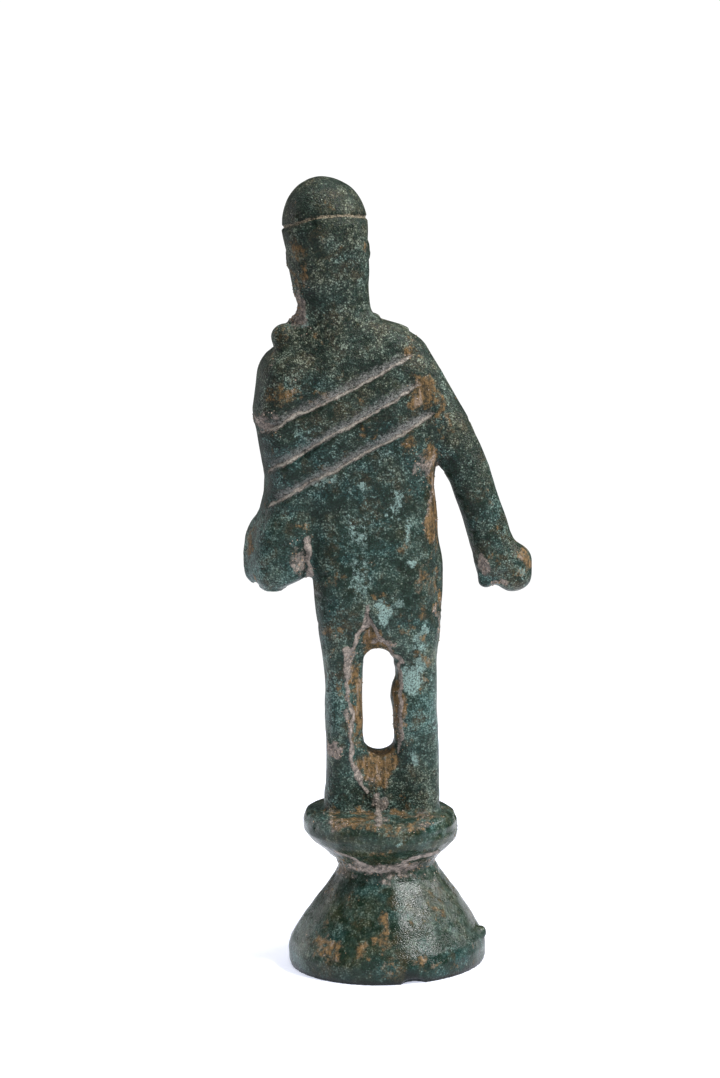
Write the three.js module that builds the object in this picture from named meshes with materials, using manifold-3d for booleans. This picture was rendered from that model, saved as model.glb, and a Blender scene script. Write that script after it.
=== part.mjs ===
// A small solid-cast bronze of a standing young man in a cap and a short cloak, one casting with its round waisted base.
// Millimetres, +Z up. He faces +Y, so -Y is his back and -X his left side. Origin: centre of the underside.
// The body is sculpted as one distance field of named limbs and masses, then meshed and thinned to a light solid.
import * as THREE from "three";
import Module from "manifold-3d";
import { mergeVertices } from "three/addons/utils/BufferGeometryUtils.js";
import { SimplifyModifier } from "three/addons/modifiers/SimplifyModifier.js";

const { lerp, clamp, smoothstep, degToRad } = THREE.MathUtils;

// Driving dimensions
const crownHeight = 80;
const footRadius = 10.1;
const discTop = 15.85;
const discRadius = 7.85;
const discOffset = -0.35; // the disc sits a little to one side of the foot, and not quite level
const discTilt = degToRad(2);
const waistRadius = 4.9; // the narrowest part of the base
const turnedSides = 60;
const bronze = { color: 0x36453c, roughness: 0.55, metalness: 0.35 };

// Meshing
const cell = 0.42;
const sculptBox = { min: [-14.6, -6.4, 13.2], max: [17.4, 11.2, crownHeight + 1.2] };
const sculptTriangles = 7800;

// Rounded joins and cuts of two distances; k is about the width of the fillet.
function join(a, b, k) {
  const h = Math.max(k - Math.abs(a - b), 0) / k;
  return Math.min(a, b) - (h * h * k) / 4;
}
const cut = (a, b, k) => -join(-a, b, k);
const both = (a, b, k) => -join(-a, -b, k);

// A tapered round limb from one joint to the next.
function limb([x, y, z], [ax, ay, az], [bx, by, bz], ra, rb) {
  const dx = bx - ax;
  const dy = by - ay;
  const dz = bz - az;
  const along = (x - ax) * dx + (y - ay) * dy + (z - az) * dz;
  const t = clamp(along / (dx * dx + dy * dy + dz * dz), 0, 1);
  return Math.hypot(x - ax - dx * t, y - ay - dy * t, z - az - dz * t) - lerp(ra, rb, t);
}

// Limbs end to end: joints are [x, y, z, radius].
function chain(p, joints) {
  let d = Infinity;
  for (let i = 1; i < joints.length; i++) {
    const a = joints[i - 1];
    const b = joints[i];
    d = Math.min(d, limb(p, a, b, a[3], b[3]));
  }
  return d;
}

// An egg-shaped mass.
function egg([x, y, z], [cx, cy, cz], [rx, ry, rz]) {
  const u = [(x - cx) / rx, (y - cy) / ry, (z - cz) / rz];
  const size = Math.hypot(...u);
  const slope = Math.hypot(u[0] / rx, u[1] / ry, u[2] / rz);
  return slope > 1e-9 ? (size * (size - 1)) / slope : -Math.min(rx, ry, rz);
}

// A value that runs smoothly through stations, each [z, left, right, back, front].
function stationAt(stations, z, key) {
  let i = 0;
  while (i < stations.length - 2 && z > stations[i + 1][0]) i++;
  const a = stations[i];
  const b = stations[i + 1];
  const before = stations[Math.max(i - 1, 0)];
  const after = stations[Math.min(i + 2, stations.length - 1)];
  const span = b[0] - a[0];
  const t = clamp((z - a[0]) / span, 0, 1);
  const slopeA = ((b[key] - before[key]) / (b[0] - before[0])) * span;
  const slopeB = ((after[key] - a[key]) / (after[0] - a[0])) * span;
  const t2 = t * t;
  const t3 = t2 * t;
  return (
    (2 * t3 - 3 * t2 + 1) * a[key] + (t3 - 2 * t2 + t) * slopeA + (3 * t2 - 2 * t3) * b[key] + (t3 - t2) * slopeB
  );
}

// An upright mass whose left, right, back and front run through its stations; squareness 2 is an ellipse.
function column([x, y, z], stations, squareness) {
  const [left, right, back, front] = [1, 2, 3, 4].map((key) => stationAt(stations, z, key));
  const dx = x - (left + right) / 2;
  const dy = y - (back + front) / 2;
  const u = Math.abs(dx) / ((right - left) / 2);
  const v = Math.abs(dy) / ((front - back) / 2);
  const q = Math.max(Math.pow(u ** squareness + v ** squareness, 1 / squareness), 1e-6);
  const radial = Math.hypot(dx, dy) * (1 - 1 / q);
  const beyond = Math.max(stations[0][0] - z, z - stations.at(-1)[0]);
  return beyond > 0 ? Math.hypot(Math.max(radial, 0), beyond) : Math.max(radial, beyond);
}

// Trunk and legs: [z, left, right, back, front]
const trunk = [
  [31, -5.0, 5.1, -2.5, 2.1],
  [34, -5.8, 6.0, -3.4, 3.0],
  [37, -6.25, 6.5, -3.9, 3.3],
  [40.5, -6.45, 6.75, -3.8, 3.4],
  [45, -6.7, 6.3, -3.4, 3.2],
  [50, -7.6, 6.15, -3.6, 3.5],
  [55, -8.6, 6.9, -4.0, 4.0],
  [60, -8.9, 6.3, -3.9, 3.7],
  [63.2, -8.6, 4.4, -3.3, 2.9],
  [65, -8.2, 2.9, -2.6, 2.3],
  [65.8, -7.4, 0.9, -2.2, 1.9],
];
const leftLeg = [
  [14.5, -6.1, -1.7, -2.6, 2.4],
  [20, -5.7, -1.75, -2.5, 2.1],
  [24.5, -5.6, -1.75, -3.1, 2.3],
  [29, -5.55, -1.75, -2.8, 2.8],
  [33, -5.75, -1.1, -3.2, 2.8],
  [37, -5.5, -0.8, -2.8, 2.2],
];
const rightLeg = [
  [14.5, 1.3, 5.75, -2.6, 2.4],
  [20, 1.25, 5.8, -2.5, 2.1],
  [26.5, 1.15, 5.75, -3.1, 2.4],
  [30, 1.6, 5.8, -2.8, 2.8],
  [33, 1.0, 5.9, -3.2, 2.8],
  [37, 0.6, 5.6, -2.8, 2.2],
];
const legSquareness = 2.6;
const trunkSquareness = 2.9;

// The pointed recess worn round the hole between the legs, open to the back.
const legRecess = [
  [17.6, -1.5, 0.3, -5.4, -2.3],
  [20, -2.9, 1.4, -5.4, -1.8],
  [24, -3.1, 1.85, -5.4, -1.6],
  [31.2, -3.25, 2.3, -5.4, -1.7],
  [33.8, -2.4, 0.7, -5.4, -2.5],
  [36.8, -1.3, -0.85, -5.4, -3.5],
];
const recessSquareness = 2.4;

// The oval hole left between the legs: the ends of its middle line as [x, z], and its radius.
const legHole = { bottom: [-0.25, 23.1], top: [-0.05, 31.2], radius: 1.5 };
const holeBump = [[2.0, -0.3, 27.7], [0.85, 2.2, 1.7]]; // where the right leg bulges into it
function hole([x, , z]) {
  const { bottom, top, radius } = legHole;
  return limb([x, 0, z], [bottom[0], 0, bottom[1]], [top[0], 0, top[1]], radius, radius);
}

function legs(p) {
  const [, , z] = p;
  let d = join(column(p, leftLeg, legSquareness), column(p, rightLeg, legSquareness), 0.4);
  const web = limb(p, [-0.2, -0.1, 16], [-0.2, -0.1, 21], 2.25, 2.25); // the bronze left between the ankles
  d = join(d, web, 1.3);
  for (const side of [-1, 1]) {
    const foot = chain(p, [
      [side * 3.6, 0.2, 17.3, 1.9],
      [side * 3.9, 2.6, 16.5, 1.45],
      [side * 4.1, 4.5, 16.1, 1.05],
    ]);
    d = join(d, foot, 0.7);
    d = join(d, egg(p, [side * 3.65, 2.1, 28.6], [1.4, 1.0, 1.5]), 0.8); // kneecap
  }
  const spread = smoothstep(z, 14.6, 16.2);
  return d - 0.35 * (1 - spread); // the ankles flare where they run into the disc
}

// The right arm hangs free of the body; the hand closes round a small bag.
const rightArmJoints = [
  [3.2, -0.1, 61.5, 2.75],
  [7.3, -0.3, 54.8, 2.5],
  [9.6, -0.3, 50.0, 2.12],
  [10.85, 0.1, 46.0, 2.08],
  [11.6, 0.4, 43.2, 2.2],
  [12.35, 0.5, 41.2, 2.3],
];
const knuckles = { centre: [14.2, 0.5, 40.8], radii: [1.55, 1.7, 1.75] };
const bag = { centre: [13.75, 0.3, 39.3], radii: [1.85, 1.6, 1.5] };
const thumb = { root: [10.85, 0, 41.2], tip: [11.05, -0.1, 39.15], radii: [1.0, 0.8] };
function rightArm(p) {
  let d = chain(p, rightArmJoints);
  d = join(d, egg(p, knuckles.centre, knuckles.radii), 0.9);
  d = join(d, egg(p, bag.centre, bag.radii), 0.8);
  return join(d, limb(p, thumb.root, thumb.tip, ...thumb.radii), 0.5);
}

// The left arm is wrapped in the cloak, whose end hangs over the bent forearm.
const leftSleeveJoints = [
  [-7.65, -0.3, 60.0, 3.6],
  [-8.45, -0.3, 56.8, 3.3],
  [-7.75, -0.1, 50.5, 3.05],
  [-8.4, 0.2, 46.2, 2.6],
];
const hangingCloth = [ // stations as on the trunk
  [38.95, -11.5, -9.5, -1.4, 4.2],
  [39.8, -12.15, -7.6, -2.1, 5.4],
  [40.8, -12.4, -6.2, -2.35, 6.1],
  [43.2, -12.4, -5.8, -2.5, 6.5],
  [45.2, -11.7, -5.8, -2.4, 6.2],
  [46.9, -10.2, -6.0, -1.3, 5.0],
];
const clothSquareness = 2.8;
const clothRounding = 0.25;
const pleat = { width: 1.9, depth: 0.26 };
const leftForearm = { elbow: [-9.1, 2, 45.6], wrist: [-9.1, 7.2, 46.2], radii: [2.2, 1.7] };
const leftFist = { centre: [-9.1, 8.3, 46.3], radii: [1.65, 1.5, 1.85] };
function leftArm(p) {
  const [, y] = p;
  let d = chain(p, leftSleeveJoints);
  const onSide = smoothstep(y, 0.5, 2);
  const pleats = pleat.depth * onSide * Math.cos((2 * Math.PI * y) / pleat.width);
  d = join(d, column(p, hangingCloth, clothSquareness) - clothRounding + pleats, 1.6);
  d = join(d, limb(p, leftForearm.elbow, leftForearm.wrist, ...leftForearm.radii), 0.5);
  return join(d, egg(p, leftFist.centre, leftFist.radii), 0.3);
}

// Head, in its own upright frame: origin at the root of the neck, leaning a little to his left.
const neckRoot = [-3.3, -0.2, 66];
const headLean = degToRad(5.5);
const capLine = { height: 9.5, tilt: 0.17, depth: 0.22, halfWidth: 0.3 }; // it sits higher at the back
const headHair = [
  [-1.5, -3.9, 3.9, -2.7, 2.2],
  [0.8, -3.6, 3.6, -2.8, 1.9],
  [2.6, -3.62, 3.62, -3.2, 1.6],
  [5, -3.95, 3.95, -3.9, 1.6],
  [9.3, -4.1, 4.1, -4.5, 2.0],
];
function toHead([x, y, z]) {
  const dx = x - neckRoot[0];
  const dz = z - neckRoot[2];
  const [c, s] = [Math.cos(headLean), Math.sin(headLean)];
  return [dx * c + dz * s, y - neckRoot[1], dz * c - dx * s];
}
function face(p, head) {
  let d = join(head, egg(p, [0, 1.15, 5.9], [3.3, 3.3, 4.5]), 0.8); // cheeks and jaw
  d = join(d, egg(p, [0, 3.35, 2.45], [1.35, 1.15, 1.05]), 0.9); // chin
  d = join(d, limb(p, [-1.9, 3.75, 7.95], [1.9, 3.75, 7.95], 0.55, 0.55), 0.5); // brow
  for (const side of [-1, 1]) {
    d = cut(d, egg(p, [side * 1.5, 4.75, 7.05], [0.95, 0.8, 0.55]), 0.35); // eye socket
    d = join(d, egg(p, [side * 1.45, 3.75, 7.0], [0.75, 0.5, 0.42]), 0.1); // eye
    d = join(d, egg(p, [side * 0.5, 4.85, 5.3], [0.42, 0.45, 0.36]), 0.2); // wing of the nose
    d = join(d, egg(p, [side * 3.75, 0.5, 6.4], [0.5, 0.8, 1.2]), 0.2); // ear
  }
  d = join(d, limb(p, [0, 4.15, 7.7], [0, 5.2, 5.45], 0.36, 0.5), 0.3); // nose
  d = join(d, limb(p, [-0.95, 4.2, 4.35], [0.95, 4.2, 4.35], 0.3, 0.3), 0.3); // upper lip
  return join(d, limb(p, [-0.75, 4.15, 3.75], [0.75, 4.15, 3.75], 0.3, 0.3), 0.3); // lower lip
}
function headAndNeck(world) {
  const p = toHead(world);
  const [, y, z] = p;
  let d = join(column(p, headHair, 2.2), egg(p, [0.1, -0.1, 9.3], [4.22, 4.5, 4.82]), 0.5);
  d = join(d, limb(p, [0, -0.4, -1.5], [0, 0.2, 4], 2.9, 2.6), 0.6); // neck
  d = face(p, d);
  const { height, tilt, depth, halfWidth } = capLine;
  return d + depth * Math.max(0, 1 - Math.abs(z - height + tilt * y) / halfWidth);
}

// The cloak: on the back a set of filed folds, on the front a layer with a hem from the right shoulder to the left arm.
// A fold runs from one [x, z] point to another. It is deepest along its foot: a gentle slope above, a steep lip below.
const lip = 0.65;
const slope = 1.35;
const backFolds = [
  { from: [-12.2, 54.5], to: [5.0, 62.7], depth: 0.72 },
  { from: [-11.8, 50.35], to: [5.5, 59.9], depth: 0.72 },
  { from: [-12.0, 46.75], to: [6.9, 56.95], depth: 0.8 },
];
const frontFolds = [
  { from: [-12.0, 58.4], to: [1.2, 63.2], depth: 0.5 },
  { from: [-11.6, 53.9], to: [1.4, 62.2], depth: 0.6 },
  { from: [-10.4, 49.6], to: [0.2, 59.6], depth: 0.5 },
];
function fold([x, , z], { from, to, depth }) {
  const run = [to[0] - from[0], to[1] - from[1]];
  const length = Math.hypot(...run);
  const along = ((x - from[0]) * run[0] + (z - from[1]) * run[1]) / length;
  const above = ((z - from[1]) * run[0] - (x - from[0]) * run[1]) / length;
  const profile = above > 0 ? 1 - above / slope : 1 + above / lip;
  const ends = smoothstep(along, -1, 1) * (1 - smoothstep(along, length - 2.6, length + 0.4));
  return depth * Math.max(profile, 0) * ends;
}
const deepest = (folds, p) => Math.max(...folds.map((one) => fold(p, one)));
const cloakThickness = 0.5;
const frontHem = { height: 58.3, rise: 1.55 }; // its height on the middle line, and how steeply it climbs
function frontCloak(p, body) {
  const [x, y, z] = p;
  const hem = frontHem.height + frontHem.rise * x;
  const belowHem = (hem - z) / Math.hypot(1, frontHem.rise);
  const behind = -0.8 - y;
  const region = both(belowHem, behind, 0.6);
  const thickness = cloakThickness * smoothstep(y, -0.8, 1.8); // it runs out smoothly over the shoulders
  return both(body - thickness, region, 0.4);
}

// Masses laid on the body and hollows cut in it: centre, then radii.
const breast = [[2.4, 2.9, 56.8], [2.9, 1.4, 2.5]];
const belly = [[-0.6, 2.5, 46.2], [4.2, 1.25, 4.2]];
const navel = [[-0.5, 4.0, 44.6], [0.45, 0.7, 0.5]];
const shoulderCloth = [[-8.3, -1.1, 64.35], [1.5, 1.3, 1.35]];
const brooch = [[1.7, 3.3, 62.2], [1.0, 0.9, 1.0]];
const clothValley = [[-7.15, -4.3, 41.2], [0.8, 2.5, 3.5]]; // beside the hanging cloth, at the back
const armpitHollow = [[6.2, -4.9, 51.6], [1.9, 2.0, 2.3]];
const gapFlank = { normal: [0.894, -0.447], offset: 6.0, top: 50.4 }; // the filed side of the trunk, seen through the arm gap
function sculpture(p) {
  const [x, y, z] = p;
  const { normal, offset, top } = gapFlank;
  let body = column(p, trunk, trunkSquareness);
  body = join(body, egg(p, ...breast), 0.7);
  body = join(body, egg(p, ...belly), 0.8);
  body = cut(body, egg(p, ...navel), 0.3);
  const flank = x * normal[0] + y * normal[1] - offset;
  body = z < top ? both(body, flank, 0.2) : body;
  body = join(body, legs(p), 0.8);
  body = cut(body, column(p, legRecess, recessSquareness), 0.3);
  body = join(cut(body, hole(p), 0.35), egg(p, ...holeBump), 0.5);
  body = join(body, leftArm(p), 1.2);
  body = cut(body, egg(p, ...clothValley), 0.8);
  body = join(body, egg(p, ...shoulderCloth), 1.0);
  body = join(body, rightArm(p), lerp(0.3, 1.6, smoothstep(z, 50, 56)));
  body = cut(body, egg(p, ...armpitHollow), 0.6);
  body = join(body, frontCloak(p, body), 0.15);
  body = join(body, egg(p, ...brooch), 0.2);
  const folds = y < 0 ? backFolds : frontFolds;
  body += deepest(folds, p) * smoothstep(Math.abs(y), 0.4, 2.2);
  return join(body, headAndNeck(p), 1.2);
}

// Meshes the field by cutting each cell of a grid into six tetrahedra, which always gives one closed surface.
const corners = [0, 1, 2, 3, 4, 5, 6, 7].map((i) => [i & 1, (i >> 1) & 1, i >> 2]);
const sixTetrahedra = [
  [0, 1, 3, 7],
  [0, 3, 2, 7],
  [0, 2, 6, 7],
  [0, 6, 4, 7],
  [0, 4, 5, 7],
  [0, 5, 1, 7],
];
function meshOfField(field, { min, max }, step) {
  const count = min.map((low, i) => Math.ceil((max[i] - low) / step) + 1);
  const idOf = (i, j, k) => i + count[0] * (j + count[1] * k);
  const values = new Float32Array(count[0] * count[1] * count[2]);
  for (let k = 0; k < count[2]; k++)
    for (let j = 0; j < count[1]; j++)
      for (let i = 0; i < count[0]; i++) {
        const value = field([min[0] + i * step, min[1] + j * step, min[2] + k * step]);
        values[idOf(i, j, k)] = Math.abs(value) < 1e-4 ? 1e-4 : value;
      }
  const place = (id) => [
    min[0] + (id % count[0]) * step,
    min[1] + (Math.floor(id / count[0]) % count[1]) * step,
    min[2] + Math.floor(id / (count[0] * count[1])) * step,
  ];
  const positions = [];
  const index = [];
  const known = new Map();
  const crossing = (a, b) => {
    const key = a < b ? a * values.length + b : b * values.length + a;
    if (!known.has(key)) {
      const t = clamp(values[a] / (values[a] - values[b]), 0.08, 0.92);
      const [pa, pb] = [place(a), place(b)];
      known.set(key, positions.length / 3);
      positions.push(...pa.map((v, i) => lerp(v, pb[i], t)));
    }
    return known.get(key);
  };
  const addTetrahedron = (ids) => {
    const inside = ids.filter((id) => values[id] < 0);
    const outside = ids.filter((id) => values[id] >= 0);
    if (!inside.length || !outside.length) return;
    let ring;
    if (inside.length === 2)
      ring = [
        crossing(inside[0], outside[0]),
        crossing(inside[0], outside[1]),
        crossing(inside[1], outside[1]),
        crossing(inside[1], outside[0]),
      ];
    else if (inside.length === 1) ring = outside.map((id) => crossing(inside[0], id));
    else ring = inside.map((id) => crossing(id, outside[0]));
    const [a, b, c] = ring.slice(0, 3).map((v) => new THREE.Vector3().fromArray(positions, v * 3));
    const normal = b.clone().sub(a).cross(c.clone().sub(a));
    const outwards = new THREE.Vector3(...place(outside[0])).sub(new THREE.Vector3(...place(inside[0])));
    if (normal.dot(outwards) < 0) ring.reverse();
    for (let i = 2; i < ring.length; i++) index.push(ring[0], ring[i - 1], ring[i]);
  };
  for (let k = 0; k + 1 < count[2]; k++)
    for (let j = 0; j + 1 < count[1]; j++)
      for (let i = 0; i + 1 < count[0]; i++) {
        const ids = corners.map(([di, dj, dk]) => idOf(i + di, j + dj, k + dk));
        const first = values[ids[0]] < 0;
        if (ids.every((id) => values[id] < 0 === first)) continue;
        for (const tetrahedron of sixTetrahedra) addTetrahedron(tetrahedron.map((c) => ids[c]));
      }
  const geometry = new THREE.BufferGeometry();
  geometry.setAttribute("position", new THREE.Float32BufferAttribute(positions, 3));
  geometry.setIndex(index);
  return geometry;
}

async function lightened(geometry, triangles) {
  const vertices = geometry.getAttribute("position").count;
  const spare = Math.round(vertices * (1 - (3 * triangles) / geometry.index.count));
  return new SimplifyModifier().modify(geometry, spare);
}

// The turned base, from the underside's centre round to the middle of the disc's top: [radius, z].
const baseProfile = [
  [0, 0],
  [footRadius - 0.15, 0],
  [footRadius, 0.5],
  [footRadius, 1.7],
  [footRadius - 0.3, 2.6],
  [footRadius - 1.65, 4.8],
  [footRadius - 3.25, 7.1],
  [waistRadius + 0.5, 9.2],
  [waistRadius, 10.2],
  [waistRadius + 0.4, 11],
  [discRadius - 0.5, 12.9],
  [discRadius, 13.8],
  [discRadius, 14.8],
  [discRadius - 0.3, discTop - 0.35],
  [discRadius - 0.75, discTop - 0.05],
  [0, discTop + 0.15],
];
function baseGeometry() {
  const outline = baseProfile.map(([r, z]) => new THREE.Vector2(r, z));
  const geometry = new THREE.LatheGeometry(outline, turnedSides).rotateX(Math.PI / 2);
  const position = geometry.getAttribute("position");
  for (let i = 0; i < position.count; i++) {
    const [x, y, z] = [position.getX(i), position.getY(i), position.getZ(i)];
    const onDisc = smoothstep(z, 12, 14.2);
    const lean = 0.25 * smoothstep(z, 3, 8);
    position.setXYZ(i, x + lerp(lean, discOffset, onDisc), y, z - x * Math.tan(discTilt) * onDisc);
  }
  return geometry;
}

const wasm = await Module();
wasm.setup();

function solid(geometry) {
  const bare = geometry.clone();
  for (const name of ["normal", "uv"]) bare.deleteAttribute(name);
  const merged = mergeVertices(bare, 1e-4);
  const mesh = new wasm.Mesh({
    numProp: 3,
    vertProperties: merged.attributes.position.array,
    triVerts: new Uint32Array(merged.index.array),
  });
  return new wasm.Manifold(mesh);
}

function geometryOf(manifold) {
  const { vertProperties, triVerts, numProp } = manifold.getMesh();
  const geometry = new THREE.BufferGeometry();
  const stride = new THREE.InterleavedBuffer(vertProperties, numProp);
  geometry.setAttribute("position", new THREE.InterleavedBufferAttribute(stride, 3, 0));
  geometry.setIndex(new THREE.BufferAttribute(triVerts, 1));
  return geometry.toNonIndexed();
}

// A chip broken from the rim of the foot, at the back.
const chip = { centre: [2.6, -10.0, -0.1], radii: [1.35, 1.3, 0.75] };
function chipSolid() {
  const geometry = new THREE.SphereGeometry(1, 12, 8).scale(...chip.radii).translate(...chip.centre);
  return solid(geometry);
}

const sculpted = await lightened(meshOfField(sculpture, sculptBox, cell), sculptTriangles);
const casting = solid(baseGeometry()).subtract(chipSolid()).add(solid(sculpted));

const figure = new THREE.Mesh(geometryOf(casting), new THREE.MeshStandardMaterial(bronze));
figure.name = "figure";
const group = new THREE.Group();
group.add(figure);

export default group;
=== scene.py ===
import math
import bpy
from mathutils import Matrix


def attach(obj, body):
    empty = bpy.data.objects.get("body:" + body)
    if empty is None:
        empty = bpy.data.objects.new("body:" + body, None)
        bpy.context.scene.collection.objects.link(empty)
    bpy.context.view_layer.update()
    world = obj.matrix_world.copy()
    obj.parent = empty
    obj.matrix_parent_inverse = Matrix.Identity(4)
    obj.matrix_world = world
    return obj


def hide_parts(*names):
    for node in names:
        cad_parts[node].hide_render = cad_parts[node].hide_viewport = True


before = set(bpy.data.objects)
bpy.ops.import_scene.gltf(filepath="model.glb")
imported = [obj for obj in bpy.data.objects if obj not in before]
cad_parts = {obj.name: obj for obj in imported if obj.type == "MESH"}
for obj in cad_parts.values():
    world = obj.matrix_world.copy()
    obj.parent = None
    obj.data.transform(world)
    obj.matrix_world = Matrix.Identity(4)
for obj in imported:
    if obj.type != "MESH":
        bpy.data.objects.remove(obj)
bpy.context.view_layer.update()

# An old cast bronze figure, a man in a cap and short cloak on a waisted base, seen from behind.
# Shapes are worked out in millimetres and put into the scene in metres.
from types import SimpleNamespace

import bpy
import numpy as np
from mathutils import Quaternion, Vector

mm = 0.001

# camera, in millimetres
cameraView = {
    "place": (-1.549, -330.0, 96.0),
    "aim": (-1.549, 0.0, 43.62),
    "roll": 1.7,  # degrees, the right side of the picture sits higher
    "lens": 110.79,
}


def placeCamera(view):
    data = bpy.data.cameras.new("camera")
    data.sensor_width = 36
    data.lens = view["lens"]
    data.clip_start, data.clip_end = 0.01, 50
    camera = bpy.data.objects.new("camera", data)
    bpy.context.collection.objects.link(camera)
    place, aim = Vector(view["place"]) * mm, Vector(view["aim"]) * mm
    camera.rotation_mode = "QUATERNION"
    camera.location = place
    turn = (place - aim).to_track_quat("Z", "Y")
    camera.rotation_quaternion = turn @ Quaternion((0, 0, 1), math.radians(-view["roll"]))
    bpy.context.scene.camera = camera


placeCamera(cameraView)
print("camera placed")


# soft shapes: each returns the distance to its surface for points p = (x, y, z), negative inside
def smoothstep(value, low, high):
    t = np.clip((value - low) / (high - low), 0, 1)
    return t * t * (3 - 2 * t)


def join(a, b, k):
    h = np.maximum(k - np.abs(a - b), 0)
    return np.minimum(a, b) - h * h / (4 * k)


def cut(a, b, k):
    return -join(-a, b, k)


def both(a, b, k):
    return -join(-a, -b, k)


def limb(p, a, b, ra, rb):
    d = [b[i] - a[i] for i in range(3)]
    t = sum((p[i] - a[i]) * d[i] for i in range(3)) / sum(v * v for v in d)
    t = np.clip(t, 0, 1)
    away = sum((p[i] - a[i] - d[i] * t) ** 2 for i in range(3))
    return np.sqrt(away) - (ra + (rb - ra) * t)


def chain(p, joints):
    parts = [limb(p, a, b, a[3], b[3]) for a, b in zip(joints, joints[1:])]
    return np.minimum.reduce(parts)


def egg(p, centre, radii):
    u = [(p[i] - centre[i]) / radii[i] for i in range(3)]
    size = np.sqrt(sum(v * v for v in u))
    steep = np.sqrt(sum((v / r) ** 2 for v, r in zip(u, radii)))
    return size * (size - 1) / np.maximum(steep, 1e-6)


def stationValue(stations, z, key):
    heights = np.array([s[0] for s in stations], np.float32)
    values = np.array([s[key] for s in stations], np.float32)
    i = np.clip(np.searchsorted(heights, z, side="left") - 1, 0, len(stations) - 2)
    before, after = np.maximum(i - 1, 0), np.minimum(i + 2, len(stations) - 1)
    span = heights[i + 1] - heights[i]
    t = np.clip((z - heights[i]) / span, 0, 1)
    slopeA = (values[i + 1] - values[before]) / (heights[i + 1] - heights[before]) * span
    slopeB = (values[after] - values[i]) / (heights[after] - heights[i]) * span
    t2, t3 = t * t, t * t * t
    return (
        (2 * t3 - 3 * t2 + 1) * values[i] + (t3 - 2 * t2 + t) * slopeA
        + (3 * t2 - 2 * t3) * values[i + 1] + (t3 - t2) * slopeB
    )


def column(p, stations, squareness):
    x, y, z = p
    left, right, back, front = (stationValue(stations, z, key) for key in (1, 2, 3, 4))
    dx, dy = x - (left + right) / 2, y - (back + front) / 2
    u, v = np.abs(dx) / ((right - left) / 2), np.abs(dy) / ((front - back) / 2)
    q = np.maximum((u**squareness + v**squareness) ** (1 / squareness), 1e-4)
    radial = np.hypot(dx, dy) * (1 - 1 / q)
    beyond = np.maximum(stations[0][0] - z, z - stations[-1][0])
    outside = np.hypot(np.maximum(radial, 0), beyond)
    return np.where(beyond > 0, outside, np.maximum(radial, beyond))


# smooth random values from 0 to 1 with features of the given size
def cloud(p, size, seed):
    table = np.random.default_rng(seed).random(8192).astype(np.float32)
    cells, parts = [], []
    for c in p:
        q = c / size
        low = np.floor(q)
        f = q - low
        cells.append(low.astype(np.int64))
        parts.append(f * f * (3 - 2 * f))
    total = 0
    for corner in range(8):
        step = (corner & 1, corner >> 1 & 1, corner >> 2)
        key = (
            (cells[0] + step[0]) * 73856093
            ^ (cells[1] + step[1]) * 19349663
            ^ (cells[2] + step[2]) * 83492791
        )
        weight = 1
        for part, s in zip(parts, step):
            weight = weight * (part if s else 1 - part)
        total = total + table[key & 8191] * weight
    return total


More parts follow.
